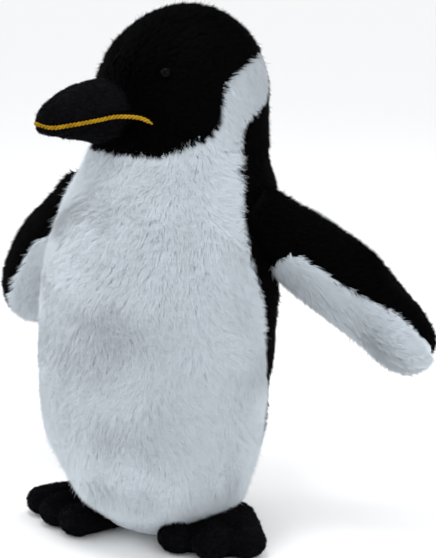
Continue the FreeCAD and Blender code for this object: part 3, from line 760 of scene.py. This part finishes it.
def mouth_height(out):
    lift = MOUTH_TIP_LIFT * float(smooth((out - MOUTH_TIP_OUT) / 8.0))
    return MOUTH_TIP_Z + (MOUTH_TIP_OUT - out) * MOUTH_RISE + lift


def head_point(out, left, height):
    return np.array((0.0, HEAD_CENTRE[1], height * MM)) + (HEAD_FORWARD * out + HEAD_LEFT * left) * MM


def tip_round(out):
    """How much the beak narrows where its tip is rounded off."""
    return math.sqrt(max(0.02, 1.0 - max(0.0, (out - TIP_ROUND_FROM) / TIP_ROUND_OVER) ** 2.2))


def mouth_path(proud):
    """The mouth line from one cheek along the beak, round its tip and back to the other cheek."""
    halves = [(out, along(BEAK, out)[0] * tip_round(out) + proud) for out in MOUTH_OUTS]
    left = [head_point(out, half, mouth_height(out)) for out, half in halves]
    right = [head_point(out, -half, mouth_height(out)) for out, half in halves]
    tip = head_point(BEAK_TIP + proud, 0.0, mouth_height(BEAK_TIP))
    corners = [[neck_skin(side * angle, height, 2.2 + proud) for angle, height in MOUTH_CORNER]
               for side in (1, -1)]
    path = resampled(np.array(corners[0] + left + [tip] + right[::-1] + corners[1][::-1]), MOUTH_POINTS)
    ends = np.pad(path, ((MOUTH_EVEN // 2,) * 2, (0, 0)), mode="reflect", reflect_type="odd")
    shares = np.ones(MOUTH_EVEN) / MOUTH_EVEN
    return np.stack([np.convolve(ends[:, k], shares, mode="valid") for k in range(3)], axis=1)


def resampled(knots, count):
    """Evenly spaced points on a smooth line through the knots."""
    padded = np.concatenate((2 * knots[:1] - knots[1:2], knots, 2 * knots[-1:] - knots[-2:-1]))
    fine = []
    for i in range(len(knots) - 1):
        a, b, c, d = padded[i:i + 4]
        for t in np.linspace(0, 1, 40, endpoint=False):
            fine.append(0.5 * (2 * b + (c - a) * t + (2 * a - 5 * b + 4 * c - d) * t * t
                               + (3 * b - a - 3 * c + d) * t ** 3))
    fine = np.array(fine + [knots[-1]])
    run = np.append(0.0, np.cumsum(np.linalg.norm(np.diff(fine, axis=0), axis=1)))
    wanted = np.linspace(0, run[-1], count)
    return np.stack([np.interp(wanted, run, fine[:, k]) for k in range(3)], axis=1)


MOUTH = mouth_path(0.0)


def mouth_distance(points):
    near = np.full(len(points), 1.0)
    for p in MOUTH[::6]:
        near = np.minimum(near, np.linalg.norm(points - p, axis=1))
    return near


def hood_keep(points):
    return (eye_distance(points) > 5.0 * MM) & (mouth_distance(points) > 2.6 * MM)


def hood_trim(points, _):
    """Shorter round the eyes and beside the mouth line."""
    eyes = smooth((eye_distance(points) - 4.5 * MM) / (9.0 * MM))
    mouth = smooth((mouth_distance(points) - 2.0 * MM) / (9.0 * MM))
    return (0.35 + 0.65 * eyes) * (0.45 + 0.55 * mouth)


def patch_trim(points, surface):
    """Shorter towards the seams, but not at the neck, where the patch runs into the belly."""
    neck = smooth((HEAD_MIDDLE[2] - points[:, 2]) / (14 * MM))
    return 0.6 + 0.4 * np.maximum(smooth(edge_distance(points, surface) / (8 * MM)), neck)


def make_head():
    for number, node in enumerate(("hood_left", "hood_right", "crown_gusset", "chin_gusset", "nape_panel")):
        cover(node, head_outward, "black", HOOD_PILE, comb_head, 40 + number, scale=hood_trim, keep=hood_keep)
    for number, node in enumerate(("ear_patch_left", "ear_patch_right")):
        cover(node, head_outward, "white", PATCH_PILE, comb_down, 60 + number, scale=patch_trim)


# ---------------------------------------------------------------- beak
def grid_form(name, rows, across_count):
    """A closed form through rows of points."""
    i, j = np.meshgrid(np.arange(len(rows) // across_count - 1), np.arange(across_count - 1), indexing="ij")
    a = (i * across_count + j).ravel()
    b = a + across_count
    faces = np.concatenate((np.stack((a, b, b + 1), 1), np.stack((a, b + 1, a + 1), 1)))
    made = mesh_object(name, np.array(rows), faces)
    welded(made, close=True)
    return made


def beak_part(node, side, seed):
    """One jaw: the half of the beak above (side 1) or below (side -1) the mouth line, a closed form."""
    outs = np.concatenate((np.arange(BEAK[0][0], 105.0, 2.5), BEAK_ENDS))
    angles = np.linspace(0.0, math.pi, 25)
    rows = []
    for out in outs:
        shrink = tip_round(out)
        half, top, bottom = along(BEAK, out)
        middle = mouth_height(out)
        rise = (top - middle if side > 0 else middle - bottom) * shrink
        half *= shrink
        for a in angles:
            level = max(0.9, rise * math.sin(a) ** 0.9)
            rows.append(head_point(out, half * math.cos(a), middle + side * level))
    made = evened(grid_form(node + "_fleece", rows, len(angles)), 1.3, 6)
    piece_of(made, FLEECE, SLOTS[node], on("head"), node, fill=0.9)
    surface = surface_of(made, -0.3, lambda p: unit(p - head_point(70.0, 0.0, 312.0)))
    grow(node + "_fleece_nap", surface, FUZZ, comb_along(HEAD_FORWARD), NAP, on("head"), seed,
         keep=lambda p: mouth_distance(p) > 1.7 * MM)


def rope(name, path, strands, reach, radius, material, slot, place, *nodes):
    """A twisted braid along a path: strands that wind round it, flattened against the fabric."""
    ways = unit(np.gradient(path, axis=0))
    side = unit(np.cross(ways, UP))
    up = np.cross(side, ways)
    run = np.append(0.0, np.cumsum(np.linalg.norm(np.diff(path, axis=0), axis=1)))
    thin = smooth(np.minimum(run, run[-1] - run) / (5.0 * MM))[:, None] * 0.6 + 0.4
    corners = 8
    points, faces = [], []
    for strand in range(strands):
        turn = TWO_PI * (run / BRAID_PITCH + strand / strands)
        winding = side * (BRAID_FLAT * np.cos(turn))[:, None] + up * np.sin(turn)[:, None]
        line = path + thin * reach * winding
        line_way = unit(np.gradient(line, axis=0))
        a_way = unit(np.cross(line_way, UP))
        b_way = np.cross(a_way, line_way)
        angles = [TWO_PI * k / corners for k in range(corners)]
        ring = [line + thin * radius * (a_way * math.cos(a) + b_way * math.sin(a)) for a in angles]
        points.append(np.stack(ring, axis=1).reshape(-1, 3))
        faces.append(rod_faces(len(path), corners) + strand * corners * len(path))
    made = mesh_object(name, np.concatenate(points), np.concatenate(faces))
    return piece_of(made, material, slot, place, *nodes)


def make_beak():
    beak_part("beak_upper", 1, 70)
    beak_part("beak_lower", -1, 71)
    rope("mouth_braid", mouth_path(0.8), 2, 0.80 * MM, 0.85 * MM, BRAID, "gold_braid", on("head"),
         "mouth_piping")
    rope("mouth_seam_allowance", mouth_path(-2.4), 1, 0.0, 3.0 * MM, BACKINGS["black"], "black_fleece",
         on("head"))


# ---------------------------------------------------------------- flippers
def flipper_ways(side):
    """Where a flipper starts and its own directions: along it, across it and out of its black side."""
    start = np.array(JOINTS[f"{side}_flipper_raise"]["pos_m"])
    span = unit(np.array(FLIPPERS[side][0]))
    outer = np.array(FLIPPERS[side][1])
    outer = unit(outer - span * np.dot(outer, span))
    return start, span, np.cross(outer, span), outer


def flipper_blend():
    def place(piece):
        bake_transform(piece)
    return place


def paddle(name, side, low, high, inset, begin, end=math.inf):
    """The part of a flipper's rounded form between two angles round it, closed along the edge seam."""
    start, span, wide_way, outer = flipper_ways(side)
    outs = np.concatenate((np.linspace(begin, 129.0, 52), FLIPPER_ENDS)) - 0.5 * inset
    root_seam, tip_seam = FLIPPER_SEAM[side]
    middle_bow, tip_bow = FLIPPER_BOW[side]
    half = 1 if low == 0 else -1
    rows = []
    for out in outs[outs < end]:
        thin = FLIPPER_THIN[side] * math.exp(-((out - 95.0) / 28.0) ** 2)
        thick, wide = along(FLIPPER, out + 0.5 * inset) - inset
        thick, wide = max(0.4, thick - thin), max(0.6, wide)
        seam = 0.0
        if inset == 0:
            rise = root_seam + (tip_seam - root_seam) * float(smooth((out - 40.0) / 85.0))
            seam = math.asin(np.clip(rise / thick, -0.8, 0.8)) - half * SEAM_OVERLAP
        share = max(0.0, out / FLIPPER[-1][0])
        bow = middle_bow * math.sin(math.pi * min(share, 1.0)) + tip_bow * share ** 2
        reach = out * (FLIPPER_REACH[side] if out > 0 else 1.0)
        for t in np.linspace(0.0, 1.0, PADDLE_POINTS):
            a = low + half * seam + (high - low - 2 * half * seam) * t
            y, z = wide * math.cos(a), thick * math.sin(a) + bow
            rows.append(start + (span * reach + wide_way * y + outer * z) * MM)
    points = np.array(rows)
    points += outer * (0.9 * MM * waves(points, 0.028, 7 + len(side)))[:, None]
    return grid_form(name, points, PADDLE_POINTS)


def comb_flipper(side):
    _, span, _, outer = flipper_ways(side)

    def comb(points, normals):
        edge = normals - outer * dot(normals, np.broadcast_to(outer, normals.shape))
        return across(span + 0.35 * edge, normals)
    return comb


def make_flipper(side, seed):
    place = flipper_blend()
    comb = comb_flipper(side)
    start, span, _, outer = flipper_ways(side)
    for half, colour, pile, facing, low in (("outer", "black", FLIPPER_PILE, outer, 0.0),
                                            ("inner", "white", UNDER_PILE, -outer, math.pi)):
        node = f"{side}_flipper_{half}"
        begin = FLIPPER_BEGIN[half]
        made = evened(paddle(node + "_fabric", side, low, low + math.pi, 0.0, begin), 2.2, 3)
        surface = surface_of(made, -0.25, lambda p: np.broadcast_to(facing, p.shape))
        piece_of(made, BACKINGS[colour], colour + "_pile", place, node, fill=0.8)
        grow(node + "_pile", surface, pile, comb, PILES[colour], place, seed,
             keep=lambda p: (p - start) @ span > (begin + 2.0) * MM)
        seed += 1
    root = paddle(f"{side}_flipper_root_fabric", side, 0.0, TWO_PI, ROOT_INSET, FLIPPER_BEGIN["root"],
                  ROOT_END)
    evened(root, 2.2, 2)
    surface = surface_of(root, 0.1, lambda p: np.broadcast_to(-outer, p.shape))
    piece_of(root, BACKINGS["black"], "black_pile", place)
    grow(f"{side}_flipper_root_pile", surface, ROOT_PILE, comb, PILES["black"], place, seed,
         keep=lambda p: (p - start) @ span < 9.0 * MM)
    filling = paddle(f"{side}_flipper_stuffing", side, 0.0, TWO_PI, FLIPPER_FILLING_INSET,
                     FLIPPER_BEGIN["filling"])
    evened(filling, 2.5, 2)
    piece_of(filling, FIBRE, "fibre_filling", place, f"{side}_flipper_filling")


# ---------------------------------------------------------------- feet
def foot_ways(side):
    sign = 1.0 if side == "left" else -1.0
    return (np.array((sign * math.sin(FOOT_SPLAY), -math.cos(FOOT_SPLAY), 0.0)),
            np.array((sign * math.cos(FOOT_SPLAY), math.sin(FOOT_SPLAY), 0.0)))


def hull(form, centres):
    """Adds to a form the rounded shape over some ellipsoids, each given by its middle and its axes."""
    ball = bmesh.new()
    for middle, axes in centres:
        place = Matrix.Translation(Vector(middle)) @ Matrix(axes).transposed().to_4x4()
        bmesh.ops.create_icosphere(ball, subdivisions=3, radius=1.0, matrix=place)
    hulled = bmesh.ops.convex_hull(ball, input=ball.verts)
    bmesh.ops.delete(ball, geom=[g for g in hulled["geom_interior"] + hulled["geom_unused"]
                                 if isinstance(g, bmesh.types.BMVert)], context="VERTS")
    mesh = bpy.data.meshes.new("hull")
    ball.to_mesh(mesh)
    ball.free()
    form.from_mesh(mesh)
    bpy.data.meshes.remove(mesh)


def foot_spot(side, out, across_foot, height):
    forward, outward = foot_ways(side)
    return (forward * out + outward * across_foot + UP * height) * MM


def foot_form(side):
    """Three rounded toes, the web between them and the instep, as one even closed mesh."""
    forward, outward = foot_ways(side)

    def axes(long, wide, high):
        return [tuple(forward * long * MM), tuple(outward * wide * MM), tuple(UP * high * MM)]

    form = bmesh.new()
    for (heel_out, heel_across), (tip_out, tip_across), half, high in TOES[side] + WEB:
        hull(form, ((foot_spot(side, heel_out, heel_across, high + 1.0), axes(half, half, high + 1.0)),
                    (foot_spot(side, tip_out, tip_across, high), axes(half, half, high))))
    middle, sizes = INSTEP
    hull(form, ((foot_spot(side, *middle), axes(*sizes)),))
    mesh = bpy.data.meshes.new(f"{side}_foot_form")
    form.to_mesh(mesh)
    form.free()
    return evened(linked(f"{side}_foot_upper_fleece", mesh), 1.9, 2)


def make_foot(side, seed):
    forward = foot_ways(side)[0]
    made = foot_form(side)
    points = vertex_array(made)
    stuffed(made, (points[:, 2] < HELD_BELOW * MM) | (points @ forward < HELD_BEHIND * MM))
    evened(made, 1.4, 3)
    points = vertex_array(made)
    points += surface_normals(made) * (0.35 * MM * waves(points, 0.008, 11))[:, None]
    points[:, 2] = np.maximum(points[:, 2], UPPER_UNDER * MM)
    set_vertices(made, points)
    points, normals = vertex_array(made), surface_normals(made)
    sole = points - normals * (SOLE_INSET * MM, SOLE_INSET * MM, 0.0)
    sole[:, 2] = np.where(sole[:, 2] < 3.0 * MM, SOLE_UNDER * MM, SOLE_TOP * MM)
    filling = points - normals * FOOT_FILLING_INSET * MM
    filling[:, 2] = np.maximum(filling[:, 2], FILLING_UNDER * MM)
    for name, nodes, shape, material in (("foot_sole_fleece", ("foot_sole",), sole, FLEECE),
                                         ("foot_stuffing", ("foot_filling", "foot_sole"), filling, FIBRE)):
        part = linked(f"{side}_{name}", made.data.copy())
        set_vertices(part, shape)
        nodes = [f"{side}_{node}" for node in nodes]
        piece_of(part, material, SLOTS[nodes[0]], on("body"), *nodes)
    piece_of(made, FLEECE, SLOTS[f"{side}_foot_upper"], on("body"), f"{side}_foot_upper", fill=0.9)
    surface = surface_of(made, -0.2, lambda p: unit(p - foot_spot(side, 50.0, 33.0, -10.0)))
    grow(f"{side}_foot_nap", surface, FUZZ, comb_along(forward), NAP, on("body"), seed)
    for number, gap in enumerate(TOE_GAPS):
        make_stitch(f"{side}_toe_stitch_{number + 1}", foot_spot(side, STITCH_OUT, gap, STITCH_UP), forward)


def make_stitch(name, middle, forward):
    """A short loop of thread pulled into the fabric between two toes."""
    steps = np.linspace(-1.0, 1.0, 9)[:, None]
    path = middle + UP * (steps * 2.4 * MM) + forward * ((1.0 - steps ** 2) * 1.2 * MM)
    points, _, faces, _ = tubes(path[None], np.array((0.45 * MM,)))
    made = mesh_object(name, points.reshape(-1, 3), faces)
    piece_of(made, THREAD, "black_fleece", on("body"))


# ---------------------------------------------------------------- tail
def make_tail():
    way = np.array((0.0, math.cos(TAIL_SLOPE), -math.sin(TAIL_SLOPE)))
    over = np.array((0.0, math.sin(TAIL_SLOPE), math.cos(TAIL_SLOPE)))
    side = np.array((1.0, 0.0, 0.0))
    outs = np.concatenate((np.arange(TAIL[0][0], 29.0, 2.0), (29.0, 30.0, 30.7, 31.0)))
    rows = []
    for out in outs:
        thick, half = along(TAIL, out)
        for a in np.linspace(0, TWO_PI, 33):
            point = way * out + side * half * math.cos(a) + over * thick * math.sin(a)
            rows.append(TAIL_MIDDLE + point * MM)
    made = evened(grid_form("tail_fabric", rows, 33), 1.8, 3)
    surface = surface_of(made)
    piece_of(made, BACKINGS["black"], SLOTS["tail"], on("body"), "tail", fill=0.6)
    grow("tail_pile", surface, TAIL_PILE, comb_along(way), PILES["black"], on("body"), 90,
         keep=lambda p: (p - TAIL_MIDDLE) @ way > -2 * MM)


def finish_cad_nodes():
    """Every CAD node gets the material of its slot, whether or not a piece replaces it."""
    looks = {"black_fleece": FLEECE, "gold_braid": BRAID, "fibre_filling": FIBRE, "pouch_cotton": COTTON,
             "eye_gloss": EYE, "washer_plastic": NYLON, "white_pile": BACKINGS["white"],
             "black_pile": BACKINGS["black"]}
    for node, made in frame["nodes"].items():
        made.data.materials.clear()
        made.data.materials.append(looks[SLOTS[node]])


# ---------------------------------------------------------------- camera, floor and light
def make_camera():
    azimuth, elevation, distance = math.radians(30.0), math.radians(13.0), 1.25
    back = Vector((math.sin(azimuth) * math.cos(elevation), -math.cos(azimuth) * math.cos(elevation),
                   math.sin(elevation)))
    right = Vector((math.cos(azimuth), math.sin(azimuth), 0.0))
    target = right * 0.038 + Vector((0, 0, 0.190))
    data = bpy.data.cameras.new("camera")
    data.sensor_width = 36.0
    data.lens = 108.3
    bpy.context.scene.camera = aimed("camera", data, target + back * distance, -back)


def aimed(name, data, place, way):
    """A camera or light at a place, pointing some way."""
    made = linked(name, data)
    made.location = place
    made.rotation_mode = "QUATERNION"
    made.rotation_quaternion = way.to_track_quat("-Z", "Y")
    return made


# Each light's name, place, the point it aims at, its diameter, power in watts and colour.
LIGHTS = (("key", (-0.55, -1.1, 1.35), (0, 0, 0.2), 0.9, 0.8, (1.0, 0.99, 0.97)),
          ("top", (0.02, -0.25, 1.25), (0, 0, 0.3), 0.26, 4.0, (1, 1, 1)),
          ("right", (1.3, -0.5, 0.7), (0, 0, 0.15), 1.0, 4.0, (0.93, 0.96, 1.0)),
          ("left", (-1.2, -0.3, 0.6), (0, 0, 0.15), 0.8, 3.0, (0.93, 0.96, 1.0)),
          ("back", (0.3, 1.2, 1.2), (0, 0, 0.25), 0.8, 5.0, (1, 1, 1)))
FLOOR_HALF, FLOOR_UNDER = 20.0, 0.0002      # the floor's half width, and how far below z = 0 it lies
WORLD_COLOUR, WORLD_STRENGTH = (0.98, 0.99, 1.0, 1), 1.02


def make_studio():
    corners = np.array(((-1, -1, 0), (1, -1, 0), (1, 1, 0), (-1, 1, 0)), float) * FLOOR_HALF
    floor = mesh_object("floor", corners - UP * FLOOR_UNDER, np.array(((0, 1, 2), (0, 2, 3))))
    paper = new_material("floor_paper", Base_Color=(0.92, 0.92, 0.92, 1), Roughness=0.9)[0]
    floor.data.materials.append(paper)
    world = bpy.data.worlds.new("studio")
    world.use_nodes = True
    set_inputs(world.node_tree.nodes["Background"], {"Color": WORLD_COLOUR, "Strength": WORLD_STRENGTH})
    bpy.context.scene.world = world
    for name, place, aim, size, power, colour in LIGHTS:
        data = bpy.data.lights.new(name, "AREA")
        data.shape = "DISK"
        data.size = size
        data.energy = power
        data.color = colour
        aimed(name, data, place, Vector(aim) - Vector(place))
    bpy.context.scene.view_settings.view_transform = "Standard"


make_camera()
finish_cad_nodes()
make_body()
make_head()
make_beak()
make_flipper("left", 20)
make_flipper("right", 24)
make_foot("left", 80)
make_foot("right", 81)
make_tail()
make_studio()
